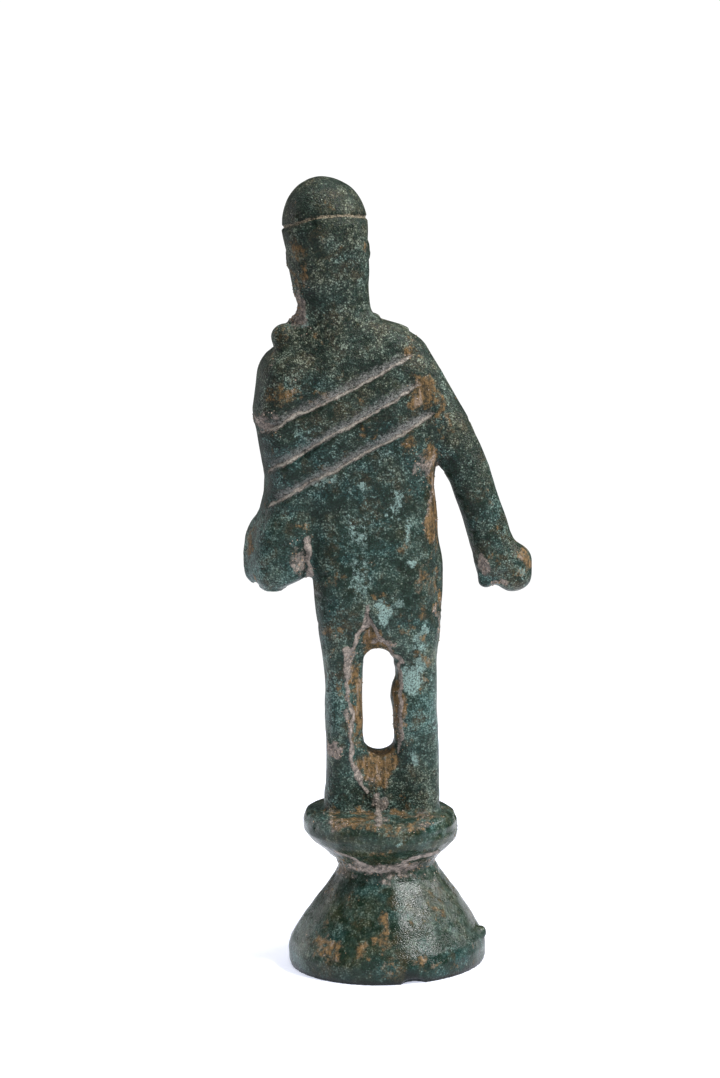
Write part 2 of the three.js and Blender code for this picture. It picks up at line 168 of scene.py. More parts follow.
# the body; columns are [z, left, right, back, front]
bodyShape = {
    "trunk": [
        [31, -5.0, 5.1, -2.5, 2.1],
        [34, -5.8, 6.0, -3.4, 3.0],
        [37, -6.25, 6.5, -3.9, 3.3],
        [40.5, -6.45, 6.75, -3.8, 3.4],
        [45, -6.7, 6.3, -3.4, 3.2],
        [50, -7.6, 6.15, -3.6, 3.5],
        [55, -8.6, 6.9, -4.0, 4.0],
        [60, -8.9, 6.3, -3.9, 3.7],
        [63.2, -8.6, 4.4, -3.3, 2.9],
        [65, -8.2, 2.9, -2.6, 2.3],
        [65.8, -7.4, 0.9, -2.2, 1.9],
    ],
    "leftLeg": [
        [14.5, -6.1, -1.7, -2.6, 2.4],
        [20, -5.7, -1.75, -2.5, 2.1],
        [24.5, -5.6, -1.75, -3.1, 2.3],
        [29, -5.55, -1.75, -2.8, 2.8],
        [33, -5.75, -1.1, -3.2, 2.8],
        [37, -5.5, -0.8, -2.8, 2.2],
    ],
    "rightLeg": [
        [14.5, 1.3, 5.75, -2.6, 2.4],
        [20, 1.25, 5.8, -2.5, 2.1],
        [26.5, 1.15, 5.75, -3.1, 2.4],
        [30, 1.6, 5.8, -2.8, 2.8],
        [33, 1.0, 5.9, -3.2, 2.8],
        [37, 0.6, 5.6, -2.8, 2.2],
    ],
    "legRecess": [
        [17.6, -1.5, 0.3, -5.4, -2.3],
        [20, -2.9, 1.4, -5.4, -1.8],
        [24, -3.1, 1.85, -5.4, -1.6],
        [31.2, -3.25, 2.3, -5.4, -1.7],
        [33.8, -2.4, 0.7, -5.4, -2.5],
        [36.8, -1.3, -0.85, -5.4, -3.5],
    ],
    "legHole": ((-0.25, 0, 23.1), (-0.05, 0, 31.2), 1.5),
    "holeBump": ((2.0, -0.3, 27.7), (0.85, 2.2, 1.7)),
    "ankleWeb": ((-0.2, -0.1, 16), (-0.2, -0.1, 21), 2.25, 2.25),
    "foot": [[3.6, 0.2, 17.3, 1.9], [3.9, 2.6, 16.5, 1.45], [4.1, 4.5, 16.1, 1.05]],
    "knee": ((3.65, 2.1, 28.6), (1.4, 1.0, 1.5)),
    "toeCuts": {"count": 4, "middle": 4.1, "apart": 0.42, "from": (4.3, 17.1), "to": (5.7, 16.3)},
    "squashedSole": 0.35,
    "rightArm": [
        [3.2, -0.1, 61.5, 2.75],
        [7.3, -0.3, 54.8, 2.5],
        [9.6, -0.3, 50.0, 2.12],
        [10.85, 0.1, 46.0, 2.08],
        [11.6, 0.4, 43.2, 2.2],
        [12.35, 0.5, 41.2, 2.3],
    ],
    "rightFist": ((14.2, 0.5, 40.8), (1.55, 1.7, 1.75)),
    "rightKnuckles": ((13.75, 0.3, 39.3), (1.85, 1.6, 1.5)),
    "rightThumb": ((10.85, 0, 41.2), (11.05, -0.1, 39.15), 1.0, 0.8),
    "palmCrease": ((11.75, -2.4, 41.4), (12.1, -1.6, 38.4), 0.22, 0.3),
    "rightFingers": {"top": 41.6, "apart": 0.85, "from": (12.9, 2.25), "to": (15.6, 1.5), "fall": 0.35},
    "leftSleeve": [
        [-7.65, -0.3, 60.0, 3.6],
        [-8.45, -0.3, 56.8, 3.3],
        [-7.75, -0.1, 50.5, 3.05],
        [-8.4, 0.2, 46.2, 2.6],
    ],
    "hangingCloth": [
        [38.95, -11.5, -9.5, -1.4, 4.2],
        [39.8, -12.15, -7.6, -2.1, 5.4],
        [40.8, -12.4, -6.2, -2.35, 6.1],
        [43.2, -12.4, -5.8, -2.5, 6.5],
        [45.2, -11.7, -5.8, -2.4, 6.2],
        [46.9, -10.2, -6.0, -1.3, 5.0],
    ],
    "forearm": ((-9.1, 2, 45.6), (-9.1, 7.2, 46.2), 2.2, 1.7),
    "leftFist": ((-9.1, 8.3, 46.3), (1.65, 1.5, 1.85)),
    "leftFingers": {"top": 47.1, "apart": 0.8, "from": (-10.4, 9.6), "to": (-7.9, 9.7), "fall": 0},
    "pleats": {"depth": 0.26, "apart": 1.9, "slant": 0.12},
    "breast": ((2.4, 2.9, 56.8), (2.9, 1.4, 2.5)),
    "belly": ((-0.6, 2.5, 46.2), (4.2, 1.25, 4.2)),
    "navel": ((-0.5, 4.0, 44.6), (0.45, 0.7, 0.5)),
    "clothValley": ((-7.15, -4.3, 41.2), (0.8, 2.5, 3.5)),
    "armpitHollow": ((6.2, -4.9, 51.6), (1.9, 2.0, 2.3)),
}


# his right side's point, or its mirror
def onSide(point, side):
    return (side * point[0], *point[1:])


def legs(p):
    z = p[2]
    d = join(column(p, bodyShape["leftLeg"], 2.6), column(p, bodyShape["rightLeg"], 2.6), 0.4)
    d = join(d, limb(p, *bodyShape["ankleWeb"]), 1.3)
    toes = bodyShape["toeCuts"]
    centre, radii = bodyShape["knee"]
    for side in (-1, 1):
        d = join(d, chain(p, [onSide(joint, side) for joint in bodyShape["foot"]]), 0.7)
        for toe in range(toes["count"]):
            at = side * toes["middle"] + (toe - (toes["count"] - 1) / 2) * toes["apart"]
            d = cut(d, limb(p, (at, *toes["from"]), (at, *toes["to"]), 0.1, 0.12), 0.12)
        d = join(d, egg(p, onSide(centre, side), radii), 0.8)
    return d - bodyShape["squashedSole"] * (1 - smoothstep(z, 14.6, 16.2))


# three lines between the closed fingers
def fingerLines(p, d, lines):
    for finger in range(3):
        z = lines["top"] - finger * lines["apart"]
        line = limb(p, (*lines["from"], z), (*lines["to"], z - lines["fall"]), 0.14, 0.14)
        d = cut(d, line, 0.18)
    return d


def rightArm(p):
    d = chain(p, bodyShape["rightArm"])
    d = join(d, egg(p, *bodyShape["rightFist"]), 0.9)
    d = join(d, egg(p, *bodyShape["rightKnuckles"]), 0.8)
    d = join(d, limb(p, *bodyShape["rightThumb"]), 0.5)
    d = cut(d, limb(p, *bodyShape["palmCrease"]), 0.5)
    return fingerLines(p, d, bodyShape["rightFingers"])


def leftArm(p):
    y, z = p[1], p[2]
    pleats = bodyShape["pleats"]
    wave = np.cos(2 * np.pi * (y + pleats["slant"] * z) / pleats["apart"])
    cloth = column(p, bodyShape["hangingCloth"], 2.8) - 0.25 + pleats["depth"] * smoothstep(y, 0.5, 2) * wave
    d = join(chain(p, bodyShape["leftSleeve"]), cloth, 1.6)
    d = join(d, limb(p, *bodyShape["forearm"]), 0.5)
    d = join(d, egg(p, *bodyShape["leftFist"]), 0.3)
    return fingerLines(p, d, bodyShape["leftFingers"])


# the head, upright in its own frame and leaning a little to his left; the face is a plain calm one
headShape = {
    "root": (-3.3, -0.2, 66),
    "lean": math.radians(5.5),
    "capLine": {"height": 9.5, "tilt": 0.17, "depth": 0.24, "width": 0.26},
    "cap": ((0.1, -0.1, 9.3), (4.22, 4.5, 4.82)),
    "neck": ((0, -0.4, -1.5), (0, 0.2, 4), 2.9, 2.6),
    "locks": {"depth": 0.1, "spacing": 5.2},
    "hair": [
        [-1.5, -3.9, 3.9, -2.7, 2.2],
        [0.8, -3.6, 3.6, -2.8, 1.9],
        [2.6, -3.62, 3.62, -3.2, 1.6],
        [5, -3.95, 3.95, -3.9, 1.6],
        [9.3, -4.1, 4.1, -4.5, 2.0],
    ],
}


def toHead(p):
    x, y, z = (p[i] - headShape["root"][i] for i in range(3))
    c, s = math.cos(headShape["lean"]), math.sin(headShape["lean"])
    return x * c + z * s, y, z * c - x * s


# in the head's own frame; what comes in pairs is given for one side
faceShape = {
    "skull": ((0, 1.15, 5.9), (3.3, 3.3, 4.5)),
    "chin": ((0, 3.35, 2.45), (1.35, 1.15, 1.05)),
    "brow": ((-1.9, 3.75, 7.95), (1.9, 3.75, 7.95), 0.55, 0.55),
    "socket": ((1.5, 4.75, 7.05), (0.95, 0.8, 0.55)),
    "eye": ((1.45, 3.75, 7.0), (0.72, 0.5, 0.4)),
    "lid": ((0.85, 4.05, 7.4), (2.0, 3.8, 7.32), 0.13, 0.11),
    "nostril": ((0.5, 4.85, 5.3), (0.42, 0.45, 0.36)),
    "cheek": ((2.0, 3.0, 5.6), (1.0, 0.8, 1.0)),
    "ear": ((3.75, 0.5, 6.4), (0.5, 0.8, 1.2)),
    "earHollow": ((4.25, 0.7, 6.5), (0.3, 0.4, 0.7)),
    "nose": ((0, 4.15, 7.7), (0, 5.2, 5.45), 0.36, 0.5),
    "upperLip": ((-0.95, 4.2, 4.35), (0.95, 4.2, 4.35), 0.28, 0.28),
    "lowerLip": ((-0.75, 4.15, 3.8), (0.75, 4.15, 3.8), 0.3, 0.3),
    "mouth": ((-0.95, 4.55, 4.08), (0.95, 4.55, 4.08), 0.08, 0.08),
}


def calmFace(p, d):
    def pairedEgg(name, side):
        centre, radii = faceShape[name]
        return egg(p, onSide(centre, side), radii)

    d = join(d, egg(p, *faceShape["skull"]), 0.8)
    d = join(d, egg(p, *faceShape["chin"]), 0.9)
    d = join(d, limb(p, *faceShape["brow"]), 0.5)
    inner, outer, thick, thin = faceShape["lid"]
    for side in (-1, 1):
        d = cut(d, pairedEgg("socket", side), 0.35)
        d = join(d, pairedEgg("eye", side), 0.08)
        d = join(d, limb(p, onSide(inner, side), onSide(outer, side), thick, thin), 0.12)
        d = join(d, pairedEgg("nostril", side), 0.2)
        d = join(d, pairedEgg("cheek", side), 0.8)
        d = join(d, pairedEgg("ear", side), 0.2)
        d = cut(d, pairedEgg("earHollow", side), 0.15)
    for name, softness in (("nose", 0.3), ("upperLip", 0.3), ("lowerLip", 0.25)):
        d = join(d, limb(p, *faceShape[name]), softness)
    return cut(d, limb(p, *faceShape["mouth"]), 0.1)


def aboveCapLine(world, p):
    line = headShape["capLine"]
    return p[2] - line["height"] + line["tilt"] * p[1] + 0.5 * (cloud(world, 2.6, 31) - 0.5)


def headAndNeck(world):
    p = toHead(world)
    z = p[2]
    d = join(column(p, headShape["hair"], 2.2), egg(p, *headShape["cap"]), 0.5)
    d = join(d, limb(p, *headShape["neck"]), 0.6)
    d = calmFace(p, d)
    seam, locks = headShape["capLine"], headShape["locks"]
    line = seam["depth"] * np.maximum(0, 1 - np.abs(aboveCapLine(world, p)) / seam["width"])
    fringe = smoothstep(z, 6.4, 8.6) * (1 - smoothstep(z, 8.9, 9.2)) * smoothstep(p[1], 1.4, 2.6)
    return d + line + locks["depth"] * fringe * np.cos(p[0] * locks["spacing"])


# the cloak: filed folds on the back, a hemmed layer with pleats on the front
# a fold is its foot's two ends in (x, z) and its depth
cloakShape = {
    "lip": 0.5,
    "slope": 1.4,
    "backFolds": [
        ((-12.2, 54.5), (5.0, 62.7), 0.74),
        ((-11.8, 50.35), (5.5, 59.9), 0.74),
        ((-12.0, 46.75), (6.9, 56.95), 0.8),
    ],
    "frontFolds": [
        ((-12.0, 58.4), (1.2, 63.2), 0.5),
        ((-11.6, 53.9), (1.4, 62.2), 0.6),
        ((-10.4, 49.6), (0.2, 59.6), 0.5),
    ],
    "hem": {"height": 58.3, "rise": 1.55, "behind": -0.8},
    "layer": 0.5,
    "brooch": ((1.7, 3.3, 62.2), (1.0, 0.9, 1.0)),
    "shoulderBunch": ((-8.3, -1.1, 64.35), (1.5, 1.3, 1.35)),
}


# how far along and above a fold's foot a point lies
def acrossFold(p, start, end):
    run = (end[0] - start[0], end[1] - start[1])
    length = math.hypot(*run)
    along = ((p[0] - start[0]) * run[0] + (p[2] - start[1]) * run[1]) / length
    above = ((p[2] - start[1]) * run[0] - (p[0] - start[0]) * run[1]) / length
    return along, above, length


# a slow wander of the folds' feet
def foldWaver(p):
    return 0.5 * (cloud(p, 2.6, 5) - 0.5)


def foldDepth(p, fold, waver):
    start, end, depth = fold
    along, above, length = acrossFold(p, start, end)
    above = above + waver
    profile = np.where(above > 0, 1 - above / cloakShape["slope"], 1 + above / cloakShape["lip"])
    ends = smoothstep(along, -1, 1) * (1 - smoothstep(along, length - 2.6, length + 0.4))
    return depth * np.maximum(profile, 0) * ends


def deepestFold(p, waver):
    back = np.maximum.reduce([foldDepth(p, f, waver) for f in cloakShape["backFolds"]])
    front = np.maximum.reduce([foldDepth(p, f, waver) for f in cloakShape["frontFolds"]])
    return np.where(p[1] < 0, back, front) * smoothstep(np.abs(p[1]), 0.4, 2.2)


def frontCloak(p, body):
    hem = cloakShape["hem"]
    belowHem = (hem["height"] + hem["rise"] * p[0] - p[2]) / math.hypot(1, hem["rise"])
    region = both(belowHem, hem["behind"] - p[1], 0.6)
    return both(body - cloakShape["layer"] * smoothstep(p[1], hem["behind"], 1.8), region, 0.4)


# the turned base, [radius, z] from the underside's centre to the middle of the disc's top
baseShape = {
    "profile": [
        [0, 0], [9.9, 0], [10.08, 0.45], [10.1, 1.7], [9.8, 2.6],
        [8.45, 4.8], [6.85, 7.1], [5.4, 9.2], [4.9, 10.2], [5.3, 11],
        [7.35, 12.9], [7.85, 13.8], [7.85, 14.8], [7.55, 15.5], [7.1, 15.8], [0, 16.0],
    ],
    "discOffset": -0.35,
    "discTilt": math.radians(2),
    "coneLean": 0.25,
    "facets": {"count": 11, "depth": 0.05},
    "outOfRound": 0.03,
    "chip": ((2.6, -10.0, -0.1), (1.35, 1.3, 0.75)),
    "growth": ((9.55, -1.2, 2.75), (0.62, 0.7, 0.7)),
}


def base(p):
    x, y, z = p
    facets = baseShape["facets"]
    onDisc = smoothstep(z, 12, 14.2)
    lean = baseShape["coneLean"] * smoothstep(z, 3, 8)
    xs = x - (lean * (1 - onDisc) + baseShape["discOffset"] * onDisc)
    zs = z + xs * math.tan(baseShape["discTilt"]) * onDisc
    angle = np.arctan2(y, xs)
    onCone = smoothstep(z, 2.4, 4) * (1 - smoothstep(z, 8.5, 10))
    r = np.hypot(xs, y) + facets["depth"] * onCone * np.cos(facets["count"] * angle + 0.7)
    r = r + baseShape["outOfRound"] * np.cos(3 * angle + 1)
    near = np.full(r.shape, 1e9, np.float32)
    sign = np.ones(r.shape, np.float32)
    corners = baseShape["profile"]
    for (ax, az), (bx, bz) in zip(corners, corners[1:] + corners[:1]):
        ex, ez = bx - ax, bz - az
        wx, wz = r - ax, zs - az
        if ax > 0 or bx > 0:
            t = np.clip((wx * ex + wz * ez) / (ex * ex + ez * ez), 0, 1)
            near = np.minimum(near, (wx - ex * t) ** 2 + (wz - ez * t) ** 2)
        above, below = zs >= az, zs < bz
        left = ex * wz > ez * wx
        flip = (above & below & left) | (~above & ~below & ~left)
        sign = np.where(flip, -sign, sign)
    d = np.sqrt(near) * sign
    d = cut(d, egg(p, *baseShape["chip"]), 0.2)
    return join(d, egg(p, *baseShape["growth"]), 0.3)


# deposits on the back, from the head down, and a painted shadow in the chip at the foot: (x, z, reach
# across, reach up, strength)
patinaPlaces = {
    "earth": [
        (-6.8, 73.0, 0.8, 1.8, 0.8), (-6.6, 70.5, 0.9, 2.4, 0.7), (-8.8, 64.9, 1.3, 1.6, 0.5),
        (4.2, 63.0, 0.8, 1.0, 1.0), (-2.8, 60.4, 1.6, 0.6, 0.5), (5.0, 58.8, 1.7, 1.9, 1.1),
        (-8.8, 58.6, 2.2, 2.0, 0.7), (6.9, 57.3, 1.0, 1.2, 0.9), (7.9, 55.6, 1.1, 0.9, 0.5),
        (3.3, 53.7, 0.9, 1.4, 0.9), (5.8, 52.2, 1.3, 1.9, 1.0), (3.5, 48.6, 1.0, 1.2, 0.5),
        (6.0, 47.2, 0.75, 5.4, 1.1), (-12.6, 43.8, 0.6, 2.2, 0.9), (2.9, 43.5, 1.3, 1.1, 0.6),
        (-0.5, 41.8, 1.6, 0.7, 0.4), (15.3, 41.1, 0.7, 1.5, 0.9), (-12.1, 40.1, 0.6, 0.6, 0.8),
        (4.7, 40.0, 1.0, 2.0, 0.6), (6.0, 38.2, 0.5, 3.0, 0.8), (3.9, 36.6, 1.2, 1.5, 0.55),
        (-5.0, 35.5, 0.8, 2.0, 0.4), (-0.6, 34.0, 0.9, 1.7, 1.0), (-0.3, 33.0, 1.6, 1.1, 1.1),
        (-4.6, 33.0, 0.9, 2.5, 0.35), (4.3, 31.6, 0.9, 0.8, 0.7), (-2.3, 27.5, 0.7, 5.2, 1.1),
        (1.9, 27.0, 0.6, 5.0, 0.9), (-0.5, 20.8, 2.0, 2.4, 1.2), (2.4, 15.7, 2.2, 0.5, 0.7),
        (-3.4, 15.6, 2.4, 0.6, 0.9), (0.5, 15.5, 6.0, 0.5, 0.7), (-4.6, 10.9, 1.0, 0.8, 0.5),
        (4.8, 6.4, 2.0, 2.6, 0.42), (-0.6, 6.0, 0.6, 0.8, 0.8), (-0.8, 4.3, 0.8, 1.0, 0.9),
        (-2.4, 3.7, 0.8, 1.0, 1.0), (-6.2, 3.2, 2.0, 1.3, 0.9), (2.9, 2.6, 1.0, 0.7, 0.9),
        (4.6, 1.4, 1.4, 0.6, 0.5),
    ],
    "crust": [
        (-7.0, 66.9, 0.95, 2.3, 1.05), (-9.5, 62.5, 0.5, 0.7, 0.4), (-10.3, 55.8, 1.6, 1.1, 1.1),
        (5.2, 51.5, 1.6, 1.6, 0.8), (5.4, 47.0, 0.5, 3.8, 0.6), (-7.9, 42.2, 1.1, 2.0, 0.8),
        (10.9, 40.8, 0.7, 0.9, 1.1), (-6.9, 40.5, 0.7, 0.8, 0.8), (12.3, 39.0, 0.8, 0.5, 1.2),
        (6.1, 35.8, 0.3, 3.2, 0.7), (-1.9, 34.2, 0.3, 1.2, 0.5), (0.4, 33.6, 1.4, 0.5, 1.0),
        (-3.0, 31.0, 0.55, 1.7, 0.95), (-3.2, 26.0, 0.35, 1.8, 0.8), (1.9, 24.5, 0.5, 2.8, 0.6),
        (-4.5, 22.3, 0.75, 0.8, 1.6), (-0.8, 19.5, 1.4, 1.4, 0.5), (-0.3, 17.0, 0.8, 1.1, 1.2),
        (3.6, 15.4, 3.2, 0.5, 0.5), (-4.6, 15.4, 2.4, 0.5, 0.55), (0.0, 10.4, 6.0, 1.2, 0.85),
    ],
    # painted shadow in the chip at the foot
    "grime": [(2.6, 0.3, 1.3, 0.7, 1.3)],
    "verdigris": [
        (-6.8, 65.6, 0.7, 0.9, 0.7), (-7.0, 54.6, 2.0, 1.2, 0.4), (0.2, 53.0, 3.2, 1.4, 0.4),
        (-5.0, 50.4, 2.0, 1.5, 0.4), (-1.3, 49.6, 0.4, 0.5, 1.2), (2.1, 48.2, 1.0, 2.4, 0.5),
        (1.4, 46.6, 0.3, 0.3, 1.5), (3.1, 44.6, 0.6, 1.8, 0.7), (-1.7, 44.6, 0.3, 0.3, 1.4),
        (-1.6, 44.5, 1.5, 2.4, 0.45), (3.2, 41.8, 0.45, 0.35, 1.5), (-1.5, 40.4, 1.6, 2.0, 0.6),
        (14.2, 39.7, 0.5, 0.5, 1.3), (0.7, 36.6, 1.3, 1.5, 1.0), (4.4, 34.9, 0.5, 0.5, 1.3),
        (4.3, 33.0, 1.0, 1.6, 0.6), (3.6, 29.6, 1.2, 2.2, 1.0), (-5.5, 28.5, 0.4, 5.5, 0.6),
        (-4.4, 28.0, 1.2, 5.0, 0.35), (5.8, 27.5, 0.35, 4.5, 0.7), (6.0, 22.6, 0.3, 0.7, 1.4),
        (3.4, 20.9, 0.7, 0.8, 0.8), (1.5, 14.4, 1.6, 0.4, 0.6),
    ],
}


# crust that lies in lines along edges and grooves: width, then (x, z) points
crustLines = [
    (0.24, [
        (-1.0, 37.5), (-1.1, 36.6), (-1.2, 35.3), (-2.1, 34.4), (-2.6, 33.2), (-3.0, 31.9), (-3.25, 30.6),
    ]),
    (0.2, [(-1.1, 36.6), (-0.6, 35.3), (0.0, 34.4), (0.7, 33.6), (1.3, 32.5), (2.3, 31.5)]),
    (0.36, [(-3.15, 33.0), (-3.25, 31.6), (-3.25, 30.3)]),
    (0.2, [(-3.25, 30.3), (-3.2, 27.6), (-2.8, 26.2), (-3.05, 24.6), (-3.0, 23.0)]),
    (0.22, [(-3.0, 23.0), (-2.95, 21.0), (-2.2, 19.0), (-1.6, 18.0)]),
    (0.2, [(2.05, 31.3), (2.1, 29.0), (1.95, 27.3), (2.0, 24.1), (1.7, 22.2)]),
    (0.34, [(-0.6, 17.6), (-0.55, 15.9)]),
    (0.22, [
        (-4.9, 12.5), (-3.3, 12.1), (-2.4, 11.5), (-0.7, 10.5), (0.9, 10.7), (1.9, 11.6), (3.4, 12.0),
        (5.4, 12.1),
    ]),
    (0.3, [(-6.9, 44.3), (-6.7, 42.2), (-6.75, 40.4)]),
]


def warped(p, amount, size, seed):
    return p[0] + amount * (cloud(p, size, seed) - 0.5), p[2] + amount * (cloud(p, size, seed + 1) - 0.5)


def placeMask(p, places):
    px, pz = warped(p, 1.5, 1.3, 51)
    qx, qz = warped(p, 0.7, 0.5, 53)
    px, pz = px + qx - p[0], pz + qz - p[2]
    mask = np.zeros(p[0].shape, np.float32)
    for x, z, across, up, strength in places:
        far = np.sqrt(((px - x) / across) ** 2 + ((pz - z) / up) ** 2)
        mask = np.maximum(mask, strength * (1 - smoothstep(far, 0.2, 1.5)))
    return mask * (1 - smoothstep(p[1], 0.2, 2.2))


def lineMask(p, lines):
    px, pz = warped(p, 0.5, 0.7, 61)
    mask = np.zeros(p[0].shape, np.float32)
    for width, corners in lines:
        for (ax, az), (bx, bz) in zip(corners, corners[1:]):
            dx, dz = bx - ax, bz - az
            t = np.clip(((px - ax) * dx + (pz - az) * dz) / (dx * dx + dz * dz), 0, 1)
            far = np.hypot(px - ax - dx * t, pz - az - dz * t)
            mask = np.maximum(mask, 1 - smoothstep(far, 0.5 * width, 1.7 * width))
    return mask * (1 - smoothstep(p[1], -1.2, 0.4))


# the whole casting
flank = {"normal": (0.894, -0.447), "offset": 6.0, "top": 50.4}
surfaceWork = {"wobble": 0.16, "pitting": 0.11, "crustThickness": 0.2}


def bodyField(p):
    x, y, z = p
    body = column(p, bodyShape["trunk"], 2.9)
    body = join(body, egg(p, *bodyShape["breast"]), 0.7)
    body = join(body, egg(p, *bodyShape["belly"]), 0.8)
    body = cut(body, egg(p, *bodyShape["navel"]), 0.3)
    side = x * flank["normal"][0] + y * flank["normal"][1] - flank["offset"]
    body = np.where(z < flank["top"], both(body, side, 0.2), body)
    body = join(body, legs(p), 0.8)
    body = cut(body, column(p, bodyShape["legRecess"], 2.4), 0.3)
    a, b, r = bodyShape["legHole"]
    body = cut(body, limb((x, np.zeros_like(y), z), a, b, r, r), 0.35)
    body = join(body, egg(p, *bodyShape["holeBump"]), 0.5)
    body = join(body, leftArm(p), 1.2)
    body = cut(body, egg(p, *bodyShape["clothValley"]), 0.8)
    body = join(body, egg(p, *cloakShape["shoulderBunch"]), 1.0)
    body = join(body, rightArm(p), 0.3 + 1.3 * smoothstep(z, 50, 56))
    body = cut(body, egg(p, *bodyShape["armpitHollow"]), 0.6)
    body = join(body, frontCloak(p, body), 0.15)
    body = join(body, egg(p, *cloakShape["brooch"]), 0.2)
    body = body + deepestFold(p, foldWaver(p))
    return join(body, headAndNeck(p), 1.2)


def casting(p):
    z = p[2]
    d = join(bodyField(p), base(p), 0.35)
    awayFromTable = smoothstep(z, 0.15, 0.9)
    wobble = surfaceWork["wobble"] * (cloud(p, 2.9, 11) - 0.5)
    wobble = wobble + 0.4 * surfaceWork["wobble"] * (cloud(p, 1.1, 12) - 0.5)
    rubbed = 0.3 + 0.7 * smoothstep(z, 10, 16)  # fewer pits on the base
    pits = surfaceWork["pitting"] * smoothstep(cloud(p, 0.75, 13), 0.72, 0.9) * rubbed
    crust = np.maximum(placeMask(p, patinaPlaces["crust"]), lineMask(p, crustLines))
    lumps = surfaceWork["crustThickness"] * crust * smoothstep(cloud(p, 0.8, 14), 0.2, 0.7)
    return d + (wobble + pits * (1 - crust) - lumps) * awayFromTable


# from field to mesh: one vertex in each cell that the surface crosses
sculpture = {
    "low": (-14.6, -11.4, -0.9),
    "high": (17.4, 11.6, 81.4),
    "cell": 0.2,
    "block": 6,
    "triangles": 188000,
}


def sampleField(field, shape):
    low, cell, block = np.array(shape["low"]), shape["cell"], shape["block"]
    blocks = np.ceil((np.array(shape["high"]) - low) / (cell * block)).astype(int)
    centres = np.stack(np.meshgrid(*[np.arange(n) for n in blocks], indexing="ij"), -1).reshape(-1, 3)
    middle = (low + (centres + 0.5) * cell * block).astype(np.float32)
    rough = field(tuple(middle.T))
    values = np.empty(blocks * block, np.float32)
    tiles = values.reshape(blocks[0], block, blocks[1], block, blocks[2], block)
    tiles[:] = np.sign(rough).reshape(blocks)[:, None, :, None, :, None] * 9
    reach = 0.87 * cell * block + 0.9  # half a block's diagonal, and room for what the field rounds off
    busy = centres[np.abs(rough) < reach]
    inner = np.stack(np.meshgrid(*[np.arange(block)] * 3, indexing="ij"), -1).reshape(-1, 3)
    for some in np.array_split(busy, max(1, len(busy) // 900)):
        at = (some[:, None, :] * block + inner[None]).reshape(-1, 3)
        points = (low + at * cell).astype(np.float32)
        values[at[:, 0], at[:, 1], at[:, 2]] = field(tuple(points.T))
    return values


def netSurface(values, shape):
    low, cell = np.array(shape["low"]), shape["cell"]
    inside = values < 0
    n = np.array(values.shape) - 1
    corner = [(i & 1, i >> 1 & 1, i >> 2) for i in range(8)]

    def part(grid, c):
        return grid[c[0]:c[0] + n[0], c[1]:c[1] + n[1], c[2]:c[2] + n[2]]

    count = sum(part(inside, c).astype(np.int8) for c in corner)
    mixed = (count > 0) & (count < 8)
    cells = np.argwhere(mixed)
    number = np.full(mixed.shape, -1, np.int64)
    number[mixed] = np.arange(len(cells))
    value = [values[tuple((cells + c).T)] for c in corner]
    total, crossings = np.zeros((len(cells), 3)), np.zeros(len(cells))
    for a in range(8):
        for axis in range(3):
            b = a | 1 << axis
            if a == b:
                continue
            crossed = (value[a] < 0) != (value[b] < 0)
            t = np.where(crossed, value[a] / np.where(crossed, value[a] - value[b], 1), 0)
            spot = np.array(corner[a], float) + t[:, None] * np.eye(3)[axis]
            total += spot * crossed[:, None]
            crossings += crossed
    vertices = low + (cells + total / crossings[:, None]) * cell
    faces = []
    for axis in range(3):
        u, v = (axis + 1) % 3, (axis + 2) % 3
        step = np.eye(3, dtype=int)
        there = np.argwhere(np.diff(inside.astype(np.int8), axis=axis) != 0)
        there = there[(there[:, u] > 0) & (there[:, v] > 0) & (there[:, u] < n[u]) & (there[:, v] < n[v])]
        ring = [there - step[u] - step[v], there - step[v], there, there - step[u]]
        quad = np.stack([number[tuple(r.T)] for r in ring], 1)
        leaving = inside[tuple(there.T)]
        faces.append(np.where(leaving[:, None], quad, quad[:, ::-1]))
    return vertices, np.concatenate(faces)


def meshObject(name, vertices, faces):
    mesh = bpy.data.meshes.new(name)
    mesh.vertices.add(len(vertices))
    mesh.vertices.foreach_set("co", (vertices * mm).astype(np.float32).ravel())
    sides = faces.shape[1]
    mesh.loops.add(faces.size)
    mesh.loops.foreach_set("vertex_index", faces.astype(np.int32).ravel())
    mesh.polygons.add(len(faces))
    mesh.polygons.foreach_set("loop_start", np.arange(0, faces.size, sides, dtype=np.int32))
    mesh.update(calc_edges=True)
    mesh.validate()
    thing = bpy.data.objects.new(name, mesh)
    bpy.context.collection.objects.link(thing)
    return thing


def thinned(thing, triangles):
    thin = thing.modifiers.new("thin", "DECIMATE")
    have = sum(len(f.vertices) - 2 for f in thing.data.polygons)
    thin.ratio = min(1.0, triangles / have)
    baked = bpy.data.meshes.new_from_object(thing.evaluated_get(bpy.context.evaluated_depsgraph_get()))
    thing.modifiers.remove(thin)
    thing.data = baked
    return thing


def meshPoints(mesh):
    points = np.empty(len(mesh.vertices) * 3, np.float32)
    mesh.vertices.foreach_get("co", points)
    return points.reshape(-1, 3) / mm


def storeMask(mesh, name, values):
    layer = mesh.attributes.new(name, "FLOAT", "POINT")
    layer.data.foreach_set("value", np.clip(values, 0, 1).astype(np.float32))


def slopeOf(field, points, step):
    slope = np.empty_like(points)
    for axis in range(3):
        shift = np.zeros(3, np.float32)
        shift[axis] = step
        slope[:, axis] = field(tuple((points + shift).T)) - field(tuple((points - shift).T))
    return slope / (2 * step)


vertices, faces = netSurface(sampleField(casting, sculpture), sculpture)
print("surface found,", len(vertices), "points")
figure = thinned(meshObject("bronze_casting", vertices, faces), sculpture["triangles"])

